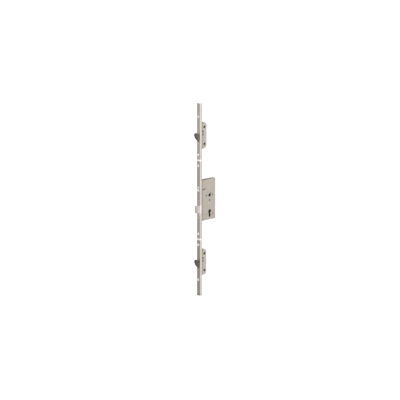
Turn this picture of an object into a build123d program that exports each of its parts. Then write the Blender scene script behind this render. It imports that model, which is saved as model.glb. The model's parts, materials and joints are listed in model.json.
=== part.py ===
from build123d import *
import math
import os

os.makedirs("parts", exist_ok=True)

# Multipoint door lock with two swinging hooks, a deadbolt and a roller latch, in millimetres.
# X runs into the door from the forend's front face, Y across the door, Z up.
# The origin lies on that face, level with the follower. All bolts are thrown, towards -X.

# Forend: three lengths of U channel, closed up by two couplings
forend_width = 20.0
forend_depth = 13.0
forend_wall = 1.8
forend_bend = 2.0
joint_gap = 7.0
joint_above_case = 89.0
joint_below_case = 80.0
coupling_wall = 1.6
coupling_reach = 34.0
coupling_screw_offset = 24.5
coupling_setback = 1.2
door_screw_hole_radius = 2.5
door_screw_sink_radius = 3.6

# Clearances
running_clearance = 0.3
pin_clearance = 0.05
seat_gap = 0.05
overrun = 1.0

# Main case
case_thickness = 15.5
sheet = 1.25
case_back = 95.3
case_top = 72.0
case_bottom = -108.5
case_corner = 2.0
backset = 60.0
case_mouth = 9.5
upper_joint_height = case_top + joint_above_case
lower_joint_height = case_bottom - joint_below_case
plate_above_case = 18.0
plate_below_case = 10.5
plate_top = case_top + plate_above_case
plate_foot = case_bottom - plate_below_case

# Hook boxes
box_back = 41.8
box_height = 116.0
box_corner = 15.5
box_above_joint = 15.4
box_below_joint = 10.6
upper_box_height = upper_joint_height + coupling_reach + box_above_joint + box_height / 2
lower_box_height = lower_joint_height - coupling_reach - box_below_joint - box_height / 2
hook_pivot_depth = 21.0
hook_pivot_rise = 16.0
hook_reach = 44.8
hook_thickness = 8.0
hook_pin_radius = 3.0

# Ends of the forend, told from the boxes: a door screw beyond each box, then the channel's end
screw_above_box = 26.6
screw_below_box = 18.9
end_above_screw = 58.0
end_below_screw = 70.6
upper_door_screw = upper_box_height + box_height / 2 + screw_above_box
lower_door_screw = lower_box_height - box_height / 2 - screw_below_box
forend_top = upper_door_screw + end_above_screw
forend_bottom = lower_door_screw - end_below_screw

# Gearing: every wheel has the same teeth, so one travel turns them all alike
gear_module = 1.0
gear_teeth = 24
pressure_angle = 20.0
backlash = 0.16
drive_travel = 11.0

# Drive rods and plates
rod_depth = 3.8
rod_width = 11.0
rod_thickness = 2.0
plate_thickness = 2.0
plate_depth = 3.95
rivet_radius = 2.0
lap_length = 15.0
rod_below_top = 11.0
rod_above_bottom = 15.0
top_rod_end = forend_top - rod_below_top
bottom_rod_end = forend_bottom + rod_above_bottom

# Deadbolt
bolt_height = 32.0
bolt_level = -55.0
bolt_projection = 17.5
bolt_tail = 31.5
bolt_travel = 18.0
bolt_pin_radius = 3.0
bolt_pin_depth = 24.0

# Roller latch
latch_level = 29.2
roller_radius = 6.0
roller_height = 9.0
latch_projection = 7.0

# Door furniture: spindle, its fixing screws, profile cylinder and its fixing screws
spindle_side = 8.1
furniture_spacing = 38.0
rose_hole_radius = 3.25
plate_hole_radius = 2.6
plate_hole_level = -83.6
cylinder_level = -72.0
cylinder_radius = 8.6
cylinder_flag_width = 10.2
cylinder_drop = 24.7
middle_slot_level = -22.0
middle_slot_width = 4.5
middle_slot_length = 9.0

# Derived sizes that several pieces share
half_forend = forend_width / 2
channel_inside = forend_width - 2 * forend_wall
half_case = case_thickness / 2
half_inside = half_case - sheet
half_blade = hook_thickness / 2
plate_low = half_blade + running_clearance
plate_high = plate_low + plate_thickness
gear_face = plate_high - pin_clearance * 2
pitch_radius = gear_module * gear_teeth / 2
rack_pitch = math.pi * gear_module
tooth_top = gear_module
tooth_root = 1.25 * gear_module
rod_back = rod_depth + rod_thickness
plate_back = rod_back + rod_thickness
case_middle = (case_top + case_bottom) / 2
hook_rack_depth = hook_pivot_depth - pitch_radius
follower_rack_depth = backset + pitch_radius
bolt_top = bolt_level + bolt_height / 2
bolt_foot = bolt_level - bolt_height / 2


def side_plane(level):
    """Plane across the lock at the height `level` along Y; extrusions run towards -Y."""
    return Plane.XZ.offset(-level)


def front_plane(depth):
    """Plane parallel to the forend's face; local x is Y, local y is Z, extrusions run towards +X."""
    return Plane.YZ.offset(depth)


def panel(low_x, high_x, low_z, high_z, mode=Mode.ADD):
    """Rectangle between two corners, in the sketch that is open."""
    with Locations(((low_x + high_x) / 2, (low_z + high_z) / 2)):
        Rectangle(high_x - low_x, high_z - low_z, mode=mode)


# One gear tooth, pointing along +X from the wheel's centre, with involute flanks
def involute(angle):
    return math.tan(angle) - angle


base_radius = pitch_radius * math.cos(math.radians(pressure_angle))
tip_radius = pitch_radius + tooth_top
root_radius = pitch_radius - tooth_root
pitch_half_angle = math.pi / (2 * gear_teeth) - backlash / (4 * pitch_radius)


def flank_point(radius, side):
    turn = involute(math.radians(pressure_angle)) - involute(math.acos(base_radius / radius))
    half_angle = side * (pitch_half_angle + turn)
    return (radius * math.cos(half_angle), radius * math.sin(half_angle))


def root_point(side):
    x, y = flank_point(base_radius, side)
    share_of_base = (root_radius - tooth_top / 2) / base_radius
    return (x * share_of_base, y * share_of_base)


with BuildSketch() as gear_tooth:
    with BuildLine():
        Line(root_point(-1), flank_point(base_radius, -1))
        ThreePointArc(*[flank_point(r, -1) for r in (base_radius, pitch_radius, tip_radius)])
        Line(flank_point(tip_radius, -1), flank_point(tip_radius, 1))
        ThreePointArc(*[flank_point(r, 1) for r in (tip_radius, pitch_radius, base_radius)])
        Line(flank_point(base_radius, 1), root_point(1))
        Line(root_point(1), root_point(-1))
    make_face()

# One rack tooth, pointing along +X from the rack's pitch line
flank_slope = math.tan(math.radians(pressure_angle))
rack_half = rack_pitch / 4 - backlash / 4
rack_root_half = rack_half + flank_slope * tooth_root
rack_tip_half = rack_half - flank_slope * tooth_top
rack_teeth = 8

with BuildSketch() as rack_tooth:
    with BuildLine():
        Polyline(
            (-tooth_root - seat_gap, -rack_root_half),
            (-tooth_root, -rack_root_half),
            (tooth_top, -rack_tip_half),
            (tooth_top, rack_tip_half),
            (-tooth_root, rack_root_half),
            (-tooth_root - seat_gap, rack_root_half),
            close=True,
        )
    make_face()


def wheel_sketch(centre, first_angle):
    """Wheel with a sector of teeth: eight teeth counted anticlockwise from `first_angle`."""
    tooth_angle = 360 / gear_teeth
    with Locations(centre):
        Circle(root_radius)
        with PolarLocations(0, rack_teeth, first_angle, rack_teeth * tooth_angle):
            add(gear_tooth.sketch)


def rack_sketch(pitch_line, mesh_level, facing):
    """Row of rack teeth with a gap at the mesh level; `facing` is 0 for +X and 180 for -X."""
    with Locations((pitch_line, mesh_level + 2 * rack_pitch)):
        with GridLocations(0, rack_pitch, 1, rack_teeth):
            add(rack_tooth.sketch, rotation=facing)


# Screws and rivets along X, heads at the forend's face
coupling_screw_radius = 2.2
coupling_screw_head = 3.95
coupling_screw_length = 3.6
case_screw_radius = 1.5
case_screw_head = 2.6
case_screw_length = 9.0
latch_screw_level = 40.2
cylinder_screw_drop = 20.0
cylinder_screw_level = cylinder_level - cylinder_screw_drop
case_screw_levels = (-16.0, -29.0)
drive_socket_radius = 1.3
drive_socket_depth = 1.2
large_sink_radius = 4.2
large_hole_radius = 2.7
small_sink_radius = 2.75
small_hole_radius = 1.6
sink_angle = 90.0


def face_screw(level, head_radius, shank_radius, length):
    """Countersunk screw with a hexagon socket, its head just under the forend's face."""
    cone = head_radius - shank_radius
    with BuildPart() as screw:
        with BuildSketch(Plane.XY.offset(level)):
            with BuildLine():
                Polyline(
                    (seat_gap, 0),
                    (seat_gap, head_radius),
                    (seat_gap + cone, shank_radius),
                    (length, shank_radius),
                    (length, 0),
                    close=True,
                )
            make_face()
        revolve(axis=Axis((0, 0, level), (1, 0, 0)))
        with BuildSketch(Plane.YZ):
            with Locations((0, level)):
                RegularPolygon(drive_socket_radius, 6)
        extrude(amount=drive_socket_depth, mode=Mode.SUBTRACT)
    return screw.part


# Openings in the forend's face: half width, foot, top
hook_slot_half = half_blade + running_clearance + pin_clearance
hook_slot_foot = -25.3
hook_slot_top = 6.0
guide_window_half = 7.0
guide_below_bolt = 10.0
guide_above_bolt = 1.6
guide_foot = bolt_foot - guide_below_bolt
guide_top = bolt_top + guide_above_bolt
roller_side_gap = 0.9
roller_window_half = roller_radius + roller_side_gap
fork_cheek = 1.2
fork_gap = 0.15
fork_half = roller_height / 2 + fork_gap + fork_cheek
latch_window_half_height = fork_half + running_clearance
window_corner = 1.0


def forend_section(name, low, high, door_levels, large_levels, small_levels, windows):
    """Length of U channel with countersunk screw holes and windows in its face."""
    with BuildPart() as section:
        with BuildSketch(Plane.XY.offset(low)):
            panel(0, forend_depth, -half_forend, half_forend)
            panel(forend_wall, forend_depth + overrun, -channel_inside / 2, channel_inside / 2, Mode.SUBTRACT)
        extrude(amount=high - low)
        fillet(section.edges().filter_by(Axis.Z).group_by(Axis.X)[0], forend_bend)
        sinks = (
            (door_levels, door_screw_hole_radius, door_screw_sink_radius),
            (large_levels, large_hole_radius, large_sink_radius),
            (small_levels, small_hole_radius, small_sink_radius),
        )
        for levels, hole_radius, sink_radius in sinks:
            for level in levels:
                with Locations(Plane(origin=(0, 0, level), z_dir=(-1, 0, 0))):
                    CounterSinkHole(hole_radius, sink_radius, forend_wall * 2, sink_angle)
        for half_width, foot, top in windows:
            with BuildSketch(front_plane(-overrun)):
                with Locations((0, (foot + top) / 2)):
                    RectangleRounded(2 * half_width, top - foot, window_corner)
            extrude(amount=forend_wall + 2 * overrun, mode=Mode.SUBTRACT)
    section.part.label = name
    export_step(section.part, f"parts/{name}.step")
    return section.part


def hook_window(box_level):
    return (hook_slot_half, box_level + hook_slot_foot, box_level + hook_slot_top)


forend_section(
    "forend_upper",
    upper_joint_height + joint_gap / 2,
    forend_top,
    (upper_door_screw,),
    (upper_joint_height + coupling_screw_offset,),
    (),
    (hook_window(upper_box_height),),
)
forend_section(
    "forend_middle",
    lower_joint_height + joint_gap / 2,
    upper_joint_height - joint_gap / 2,
    (),
    (
        upper_joint_height - coupling_screw_offset,
        latch_screw_level,
        cylinder_screw_level,
        lower_joint_height + coupling_screw_offset,
    ),
    case_screw_levels,
    (
        (guide_window_half, guide_foot, guide_top),
        (roller_window_half, latch_level - latch_window_half_height, latch_level + latch_window_half_height),
    ),
)
forend_section(
    "forend_lower",
    forend_bottom,
    lower_joint_height - joint_gap / 2,
    (lower_door_screw,),
    (lower_joint_height - coupling_screw_offset,),
    (),
    (hook_window(lower_box_height),),
)


# Couplings: a tongue inside each channel end and a collar that fills the joint
def coupling(name, level):
    tongue_half = channel_inside / 2 - seat_gap
    leg_end = forend_depth - coupling_setback
    hollow_half = tongue_half - coupling_wall
    with BuildPart() as piece:
        with BuildSketch(Plane.XY.offset(level - joint_gap / 2)):
            panel(seat_gap, forend_depth - seat_gap, seat_gap - half_forend, half_forend - seat_gap)
        extrude(amount=joint_gap)
        fillet(piece.edges().filter_by(Axis.Z).group_by(Axis.X)[0], forend_bend)
        with BuildSketch(Plane.XY.offset(level - coupling_reach)):
            panel(forend_wall, leg_end, -tongue_half, tongue_half)
        extrude(amount=2 * coupling_reach)
        with BuildSketch(Plane.XY.offset(level - coupling_reach)):
            panel(forend_wall + coupling_wall, forend_depth + overrun, -hollow_half, hollow_half)
        extrude(amount=2 * coupling_reach, mode=Mode.SUBTRACT)
        with BuildSketch(front_plane(0)):
            with Locations((0, level)):
                with GridLocations(0, 2 * coupling_screw_offset, 1, 2):
                    Circle(coupling_screw_radius + seat_gap)
        extrude(amount=forend_depth, mode=Mode.SUBTRACT)
    piece.part.label = name
    export_step(piece.part, f"parts/{name}.step")


coupling("upper_coupling", upper_joint_height)
coupling("lower_coupling", lower_joint_height)

coupling_screw_set = [
    face_screw(
        joint + side * coupling_screw_offset,
        coupling_screw_head,
        coupling_screw_radius,
        coupling_screw_length,
    )
    for joint in (upper_joint_height, lower_joint_height)
    for side in (-1, 1)
]
with BuildPart() as coupling_screws:
    for screw in coupling_screw_set:
        add(screw)
coupling_screws.part.label = "coupling_screws"
export_step(coupling_screws.part, "parts/coupling_screws.step")

# Rod guides: blocks across the channel with a slot for the rod
guide_height = 12.0
guide_depth = 10.0
guide_below_top = 27.0
guide_above_plate = 15.0
guide_above_coupling = 16.5
guide_above_bottom = 35.0
guide_levels = (
    forend_top - guide_below_top,
    plate_top + guide_above_plate,
    lower_joint_height + coupling_reach + guide_above_coupling,
    forend_bottom + guide_above_bottom,
)
with BuildPart() as rod_guides:
    for level in guide_levels:
        with BuildSketch(Plane.XY.offset(level - guide_height / 2)):
            panel(
                forend_wall,
                forend_wall + guide_depth,
                seat_gap - channel_inside / 2,
                channel_inside / 2 - seat_gap,
            )
            panel(
                rod_depth - running_clearance,
                rod_back + running_clearance,
                -rod_width / 2 - running_clearance,
                rod_width / 2 + running_clearance,
                Mode.SUBTRACT,
            )
        extrude(amount=guide_height)
rod_guides.part.label = "rod_guides"
export_step(rod_guides.part, "parts/rod_guides.step")

# Hook boxes: a tray on the far side and a flat cover on the near side
box_screw_depth = 29.3
box_screw_rises = (36.5, -38.0)
box_post_radius = 3.4
box_screw_radius = 2.6
box_screw_head = 3.8
sight_hole_radius = 2.6
sight_hole_rise = 4.5
small_box_hole = (17.6, 51.4)
small_box_hole_radius = 1.5
pin_recess = 0.75


def plate_outline(back, foot, top, corner):
    """Outline of a case plate or hook box, square in front and rounded at its rear corners."""
    with BuildSketch() as outline:
        with BuildLine():
            FilletPolyline(
                (forend_wall, foot),
                (back, foot),
                (back, top),
                (forend_wall, top),
                radius=corner,
            )
            Line((forend_wall, top), (forend_wall, foot))
        make_face()
    return outline.sketch


def box_outline(level, inset):
    half_height = box_height / 2 - inset
    return plate_outline(box_back - inset, level - half_height, level + half_height, box_corner - inset)


def hook_box(place, level, small_holes):
    """Tray, cover, screws and hook pin of one box; `small_holes` are depth and rise in the cover."""
    screw_spots = [(box_screw_depth, level + rise) for rise in box_screw_rises]
    pin_spot = (hook_pivot_depth, level + hook_pivot_rise)
    with BuildPart() as tray:
        with BuildSketch(side_plane(half_case)):
            add(box_outline(level, 0))
        extrude(amount=case_thickness - sheet)
        with BuildSketch(side_plane(half_inside)):
            add(box_outline(level, sheet))
            panel(0, case_mouth, level - box_height, level + box_height)
        extrude(amount=case_thickness, mode=Mode.SUBTRACT)
        with BuildSketch(side_plane(half_inside)):
            with Locations(*screw_spots):
                Circle(box_post_radius)
        extrude(amount=2 * half_inside)
        with BuildSketch(side_plane(half_inside - sheet)):
            with Locations(*screw_spots):
                Circle(box_screw_radius + seat_gap)
        extrude(amount=case_thickness, mode=Mode.SUBTRACT)
        with BuildSketch(side_plane(half_case)):
            with Locations(pin_spot):
                Circle(hook_pin_radius + seat_gap)
        extrude(amount=sheet, mode=Mode.SUBTRACT)
    tray.part.label = f"{place}_box_tray"
    export_step(tray.part, f"parts/{place}_box_tray.step")

    with BuildPart() as cover:
        with BuildSketch(side_plane(-half_inside)):
            add(box_outline(level, 0))
            with Locations(pin_spot):
                Circle(hook_pin_radius + seat_gap, mode=Mode.SUBTRACT)
            with Locations((hook_pivot_depth, level + sight_hole_rise)):
                Circle(sight_hole_radius, mode=Mode.SUBTRACT)
            for depth, rise in small_holes:
                with Locations((depth, level + rise)):
                    Circle(small_box_hole_radius, mode=Mode.SUBTRACT)
        extrude(amount=sheet)
        for x, z in screw_spots:
            with Locations(Plane(origin=(x, -half_case, z), z_dir=(0, -1, 0))):
                CounterSinkHole(box_screw_radius + seat_gap, box_screw_head + seat_gap, sheet * 2, sink_angle)
    cover.part.label = f"{place}_box_cover"
    export_step(cover.part, f"parts/{place}_box_cover.step")

    with BuildPart() as screws:
        for x, z in screw_spots:
            with Locations(Plane(origin=(x, -half_case, z), z_dir=(0, 1, 0))):
                sunk_screw(box_screw_head, box_screw_radius, half_case + half_inside - 2 * sheet)
    screws.part.label = f"{place}_box_screws"
    export_step(screws.part, f"parts/{place}_box_screws.step")

    with BuildPart() as pin:
        with BuildSketch(side_plane(half_case - pin_recess)):
            with Locations(pin_spot):
                Circle(hook_pin_radius)
        extrude(amount=case_thickness - 2 * pin_recess)
    pin.part.label = f"{place}_hook_pin"
    export_step(pin.part, f"parts/{place}_hook_pin.step")


slot_length_share = 1.6
slot_width_share = 0.35
slot_depth_share = 0.8


def sunk_screw(head_radius, shank_radius, length):
    """Countersunk screw in the open part: head at the location, shank along its z direction."""
    cone = head_radius - shank_radius
    Cone(head_radius, shank_radius, cone, align=(Align.CENTER, Align.CENTER, Align.MIN))
    Cylinder(shank_radius, length, align=(Align.CENTER, Align.CENTER, Align.MIN))
    Box(
        slot_length_share * shank_radius,
        slot_width_share * shank_radius,
        slot_depth_share * cone,
        align=(Align.CENTER, Align.CENTER, Align.MIN),
        mode=Mode.SUBTRACT,
    )


hook_box("upper", upper_box_height, ())
hook_box("lower", lower_box_height, (small_box_hole,))

# Hooks: a blade that swings about its pin, with a hub and a toothed sector on its far side.
# Outline points are shares of the hook's reach, measured from the pin.
hook_foot_angle = 62.0
hook_tip_angle = 15.0
nose_left_share = (-0.904, -0.103)
nose_top_share = (-0.725, -0.045)
throat_share = (-0.610, -0.228)
throat_end_share = (-0.413, -0.301)
hub_radius = 8.0
boss_radius = 5.5
first_hook_tooth = 105.0
hub_top_share = (-0.707, 0.707)
hub_right_share = (0.940, 0.342)
hub_foot_share = (0.500, -0.866)
hook_edge = 0.8


def hook(name, level):
    pivot = (hook_pivot_depth, level + hook_pivot_rise)

    def at(share, size=hook_reach):
        return (pivot[0] + share[0] * size, pivot[1] + share[1] * size)

    foot = math.radians(180 + hook_foot_angle)
    tip = math.radians(180 + hook_tip_angle)
    with BuildPart() as blade:
        with BuildSketch(side_plane(half_blade)):
            with BuildLine():
                CenterArc(pivot, hook_reach, 180 + hook_tip_angle, hook_foot_angle - hook_tip_angle)
                ThreePointArc(at((math.cos(tip), math.sin(tip))), at(nose_left_share), at(nose_top_share))
                ThreePointArc(at(nose_top_share), at(throat_share), at(throat_end_share))
                Line(at(throat_end_share), at(hub_top_share, hub_radius))
                ThreePointArc(
                    at(hub_top_share, hub_radius),
                    at(hub_right_share, hub_radius),
                    at(hub_foot_share, hub_radius),
                )
                Line(at(hub_foot_share, hub_radius), at((math.cos(foot), math.sin(foot))))
            make_face()
        extrude(amount=hook_thickness)
        arcs = blade.edges().filter_by(GeomType.CIRCLE)
        chamfer(arcs.filter_by(lambda edge: edge.radius > hook_reach - hook_edge), hook_edge)
        with BuildSketch(side_plane(gear_face)):
            wheel_sketch(pivot, first_hook_tooth)
        extrude(amount=gear_face - half_blade)
        with BuildSketch(side_plane(-half_blade)):
            with Locations(pivot):
                Circle(boss_radius)
        extrude(amount=half_inside - half_blade - running_clearance)
        with BuildSketch(side_plane(half_inside)):
            with Locations(pivot):
                Circle(hook_pin_radius + pin_clearance)
        extrude(amount=2 * half_inside, mode=Mode.SUBTRACT)
    blade.part.label = name
    export_step(blade.part, f"parts/{name}.step")


hook("upper_hook", upper_box_height)
hook("lower_hook", lower_box_height)

# Hook racks: frames in the boxes that the hooks swing through, with teeth on one side strip
rack_half_height = 45.0
rack_window_foot = -26.5
rack_window_top = 17.5
rack_foot_strip = hook_rack_depth - tooth_root


def hook_rack(name, level):
    mesh_level = level + hook_pivot_rise
    with BuildPart() as rack:
        with BuildSketch(Plane.XY.offset(level - rack_half_height)):
            panel(rod_depth, rack_foot_strip, -rod_width / 2, plate_high)
        extrude(amount=2 * rack_half_height)
        with BuildSketch(Plane.XY.offset(level + rack_window_foot)):
            panel(0, forend_depth, -rod_width, plate_low)
        extrude(amount=rack_window_top - rack_window_foot, mode=Mode.SUBTRACT)
        with BuildSketch(side_plane(plate_high)):
            rack_sketch(hook_rack_depth, mesh_level, 0)
        extrude(amount=plate_thickness)
        for side in (-1, 1):
            inner = level + side * (rack_half_height - lap_length)
            outer = level + side * rack_half_height
            with BuildSketch(Plane.XY.offset(min(inner, outer))):
                panel(0, rod_back, -half_case, half_case)
            extrude(amount=lap_length, mode=Mode.SUBTRACT)
        with BuildSketch(front_plane(0)):
            with Locations((0, level)):
                with GridLocations(0, 2 * rack_half_height - lap_length, 1, 2):
                    Circle(rivet_radius + seat_gap)
        extrude(amount=forend_depth, mode=Mode.SUBTRACT)
    rack.part.label = name
    export_step(rack.part, f"parts/{name}.step")


hook_rack("upper_rack", upper_box_height)
hook_rack("lower_rack", lower_box_height)

# Locking lever's outline, which the drive plate's notch follows
lever_pivot = (56.0, -36.0)
lever_hub_radius = 4.5
lever_front = 52.0
lever_back = 57.0
nose_tip = 49.0
nose_back = 53.3
nose_foot = -65.7
nose_height = 4.0
lever_rise = 2.9
lever_swing = 8.0
nose_lift = (lever_pivot[0] - nose_tip) * math.sin(math.radians(lever_swing))
nose_top = nose_foot + nose_height + nose_lift + 2 * running_clearance

# Drive plate in the case: it carries both rods, the deadbolt's slanted slot and the follower's rack
neck_back = 8.5
upper_shoulder = 60.0
lower_shoulder = -89.0
upper_body_back = 34.0
lower_body_back = 22.0
plate_body_back = 48.2
body_foot = nose_top
roller_notch_depth = 15.5
roller_notch_foot = latch_level - latch_window_half_height - 2 * running_clearance
roller_notch_top = latch_level + latch_window_half_height + drive_travel
arm_foot = pitch_radius + tooth_top + drive_travel + 3 * running_clearance
arm_top = 36.0
arm_back = 75.3
screw_slot_gap = 0.5
screw_slot_half = rose_hole_radius + screw_slot_gap
lever_notch_depth = 3.9
lever_notch_foot = nose_foot + drive_travel - 2 * running_clearance
lever_notch_top = nose_top + drive_travel
bolt_slot_radius = bolt_pin_radius + 2 * pin_clearance
rose_near = backset - furniture_spacing / 2

with BuildPart() as drive_plate:
    with BuildSketch(side_plane(plate_high)):
        panel(plate_depth, neck_back, plate_foot, plate_top)
        panel(plate_depth, lower_body_back, lower_shoulder, body_foot)
        panel(plate_depth, plate_body_back, body_foot, arm_top)
        panel(plate_depth, upper_body_back, arm_top, upper_shoulder)
        panel(plate_body_back, arm_back, arm_foot, arm_top)
        panel(follower_rack_depth + tooth_root, arm_back, -1.5 * rack_pitch - rack_root_half, arm_foot)
        rack_sketch(follower_rack_depth, 0, 180)
        panel(0, roller_notch_depth, roller_notch_foot, roller_notch_top, Mode.SUBTRACT)
        panel(
            rose_near - screw_slot_half,
            rose_near + screw_slot_half,
            -screw_slot_half,
            screw_slot_half + drive_travel,
            Mode.SUBTRACT,
        )
        panel(
            plate_body_back - lever_notch_depth,
            plate_body_back + overrun,
            lever_notch_foot,
            lever_notch_top,
            Mode.SUBTRACT,
        )
        with Locations((bolt_pin_depth + bolt_travel / 2, bolt_level + drive_travel / 2)):
            SlotCenterToCenter(
                math.hypot(bolt_travel, drive_travel),
                2 * bolt_slot_radius,
                rotation=math.degrees(math.atan2(drive_travel, bolt_travel)),
                mode=Mode.SUBTRACT,
            )
    extrude(amount=plate_thickness)
    for foot in (plate_foot, plate_top - lap_length):
        with BuildSketch(Plane.XY.offset(foot)):
            panel(rod_back, plate_back, -rod_width / 2, plate_high)
        extrude(amount=lap_length)
        with BuildSketch(Plane.XY.offset(foot)):
            panel(0, rod_back, -half_case, half_case)
        extrude(amount=lap_length, mode=Mode.SUBTRACT)
        with BuildSketch(front_plane(0)):
            with Locations((0, foot + lap_length / 2)):
                Circle(rivet_radius + seat_gap)
        extrude(amount=forend_depth, mode=Mode.SUBTRACT)
drive_plate.part.label = "drive_plate"
export_step(drive_plate.part, "parts/drive_plate.step")

# Rods: flat strips behind the forend's face, slotted where a door screw passes
rod_end_radius = 2.1
upper_lap = upper_box_height + rack_half_height - lap_length
lower_lap = lower_box_height - rack_half_height + lap_length


def rod(name, foot, top, rivet_levels, screw_level=None, end_hole=None):
    with BuildPart() as strip:
        with BuildSketch(front_plane(rod_depth)):
            panel(-rod_width / 2, rod_width / 2, foot, top)
            with Locations(*[(0, level) for level in rivet_levels]):
                Circle(rivet_radius + seat_gap, mode=Mode.SUBTRACT)
            if screw_level is not None:
                half_slot = door_screw_hole_radius + running_clearance
                with Locations((0, screw_level + drive_travel / 2)):
                    SlotCenterToCenter(drive_travel, 2 * half_slot, rotation=90, mode=Mode.SUBTRACT)
            if end_hole is not None:
                with Locations((0, end_hole)):
                    Circle(rod_end_radius, mode=Mode.SUBTRACT)
        extrude(amount=rod_thickness)
    strip.part.label = name
    export_step(strip.part, f"parts/{name}.step")


rivet_inset = lap_length / 2
upper_rack_foot = upper_box_height - rack_half_height
upper_rack_top = upper_box_height + rack_half_height
lower_rack_foot = lower_box_height - rack_half_height
lower_rack_top = lower_box_height + rack_half_height
rod_end_inset = 7.0

rod(
    "upper_rod",
    plate_top - lap_length,
    upper_rack_foot + lap_length,
    (plate_top - rivet_inset, upper_rack_foot + rivet_inset),
)
rod(
    "lower_rod",
    lower_rack_top - lap_length,
    plate_foot + lap_length,
    (plate_foot + rivet_inset, lower_rack_top - rivet_inset),
)
rod(
    "top_rod",
    upper_rack_top - lap_length,
    top_rod_end,
    (upper_rack_top - rivet_inset,),
    upper_door_screw,
    top_rod_end - rod_end_inset,
)
rod(
    "bottom_rod",
    bottom_rod_end,
    lower_rack_foot + lap_length,
    (lower_rack_foot + rivet_inset,),
    lower_door_screw,
    bottom_rod_end + rod_end_inset,
)

rivet_head_radius = 3.2
rivet_head_height = 1.2
rivet_levels = (
    upper_rack_top - rivet_inset,
    upper_rack_foot + rivet_inset,
    plate_top - rivet_inset,
    plate_foot + rivet_inset,
    lower_rack_top - rivet_inset,
    lower_rack_foot + rivet_inset,
)
with BuildPart() as rod_rivets:
    with BuildSketch(front_plane(rod_depth)):
        with Locations(*[(0, level) for level in rivet_levels]):
            Circle(rivet_radius)
    extrude(amount=2 * rod_thickness)
    with BuildSketch(front_plane(plate_back)):
        with Locations(*[(0, level) for level in rivet_levels]):
            Circle(rivet_head_radius)
    extrude(amount=rivet_head_height)
rod_rivets.part.label = "rod_rivets"
export_step(rod_rivets.part, "parts/rod_rivets.step")

# Deadbolt with the pin that the drive plate's slanted slot pushes
bolt_edge = 0.8
with BuildPart() as deadbolt:
    with BuildSketch(side_plane(half_blade)):
        panel(-bolt_projection, bolt_tail, bolt_foot, bolt_top)
    extrude(amount=hook_thickness)
    chamfer(deadbolt.faces().sort_by(Axis.X)[0].edges(), bolt_edge)
    with BuildSketch(side_plane(half_blade)):
        with Locations((bolt_pin_depth, bolt_level)):
            Circle(bolt_pin_radius + seat_gap)
    extrude(amount=hook_thickness, mode=Mode.SUBTRACT)
deadbolt.part.label = "deadbolt"
export_step(deadbolt.part, "parts/deadbolt.step")

with BuildPart() as deadbolt_pin:
    with BuildSketch(side_plane(gear_face)):
        with Locations((bolt_pin_depth, bolt_level)):
            Circle(bolt_pin_radius)
    extrude(amount=gear_face + half_blade)
deadbolt_pin.part.label = "deadbolt_pin"
export_step(deadbolt_pin.part, "parts/deadbolt_pin.step")

# Bolt guide: a frame let into the forend's face round the deadbolt
guide_lip = 1.0
recess_below_bolt = (8.3, 2.2)
recess_foot, recess_top = [bolt_foot - drop for drop in recess_below_bolt]
with BuildPart() as deadbolt_guide:
    with BuildSketch(front_plane(seat_gap)):
        panel(
            seat_gap - guide_window_half,
            guide_window_half - seat_gap,
            guide_foot + seat_gap,
            guide_top - seat_gap,
        )
    extrude(amount=forend_wall - seat_gap)
    fillet(deadbolt_guide.edges().filter_by(Axis.X), window_corner)
    with BuildSketch(front_plane(forend_wall)):
        panel(
            pin_clearance - half_inside,
            half_blade + running_clearance / 2,
            guide_foot - guide_lip,
            guide_top + guide_lip,
        )
    extrude(amount=rod_depth - forend_wall - running_clearance)
    with BuildSketch(front_plane(0)):
        panel(
            -half_blade - pin_clearance,
            half_blade + pin_clearance,
            bolt_foot - seat_gap,
            bolt_top + seat_gap,
        )
        panel(-half_blade, half_blade, recess_foot, recess_top)
    extrude(amount=rod_depth, mode=Mode.SUBTRACT)
deadbolt_guide.part.label = "deadbolt_guide"
export_step(deadbolt_guide.part, "parts/deadbolt_guide.step")

# Rails above and below the deadbolt, riveted to the case cover
rail_height = 4.0
rail_front = 8.0
rail_back = 26.0
with BuildPart() as bolt_rails:
    with BuildSketch(side_plane(half_blade)):
        panel(rail_front, rail_back, bolt_top + 2 * pin_clearance, bolt_top + rail_height)
        panel(rail_front, rail_back, bolt_foot - rail_height, bolt_foot - 2 * pin_clearance)
    extrude(amount=half_blade + half_inside)
bolt_rails.part.label = "bolt_rails"
export_step(bolt_rails.part, "parts/bolt_rails.step")

# Fixing blocks on the case cover, which the small forend screws hold
block_back = 9.5
lower_block_foot = -34.0
lower_block_top = -10.0
upper_block_foot = 36.6
upper_block_top = 45.5
with BuildPart() as fixing_blocks:
    with BuildSketch(side_plane(half_blade)):
        panel(forend_wall, block_back, lower_block_foot, lower_block_top)
        panel(forend_wall, block_back, upper_block_foot, upper_block_top)
    extrude(amount=half_blade + half_inside)
    with BuildSketch(front_plane(0)):
        with Locations(*[(0, level) for level in case_screw_levels]):
            Circle(case_screw_radius + seat_gap)
        with Locations((0, latch_screw_level)):
            Circle(coupling_screw_radius + seat_gap)
    extrude(amount=2 * block_back, mode=Mode.SUBTRACT)
fixing_blocks.part.label = "fixing_blocks"
export_step(fixing_blocks.part, "parts/fixing_blocks.step")

case_screw_set = [
    face_screw(level, case_screw_head, case_screw_radius, case_screw_length) for level in case_screw_levels
]
case_screw_set.append(
    face_screw(latch_screw_level, coupling_screw_head, coupling_screw_radius, case_screw_length)
)
with BuildPart() as forend_screws:
    for screw in case_screw_set:
        add(screw)
forend_screws.part.label = "forend_screws"
export_step(forend_screws.part, "parts/forend_screws.step")

# Roller latch: fork and tail in one piece, roller on an upright pin, spring round the tail
fork_width = hook_thickness
fork_front = -2.6
fork_body_front = 5.7
fork_body_back = 22.0
tail_radius = 1.8
tail_end = 46.0
fork_corner = 2.75
roller_centre = roller_radius - latch_projection
roller_pin_radius = 1.5
seat_front = 40.0
seat_back = 43.0
seat_half = 5.0
clip_radius = 4.0
clip_thickness = 1.2

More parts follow.
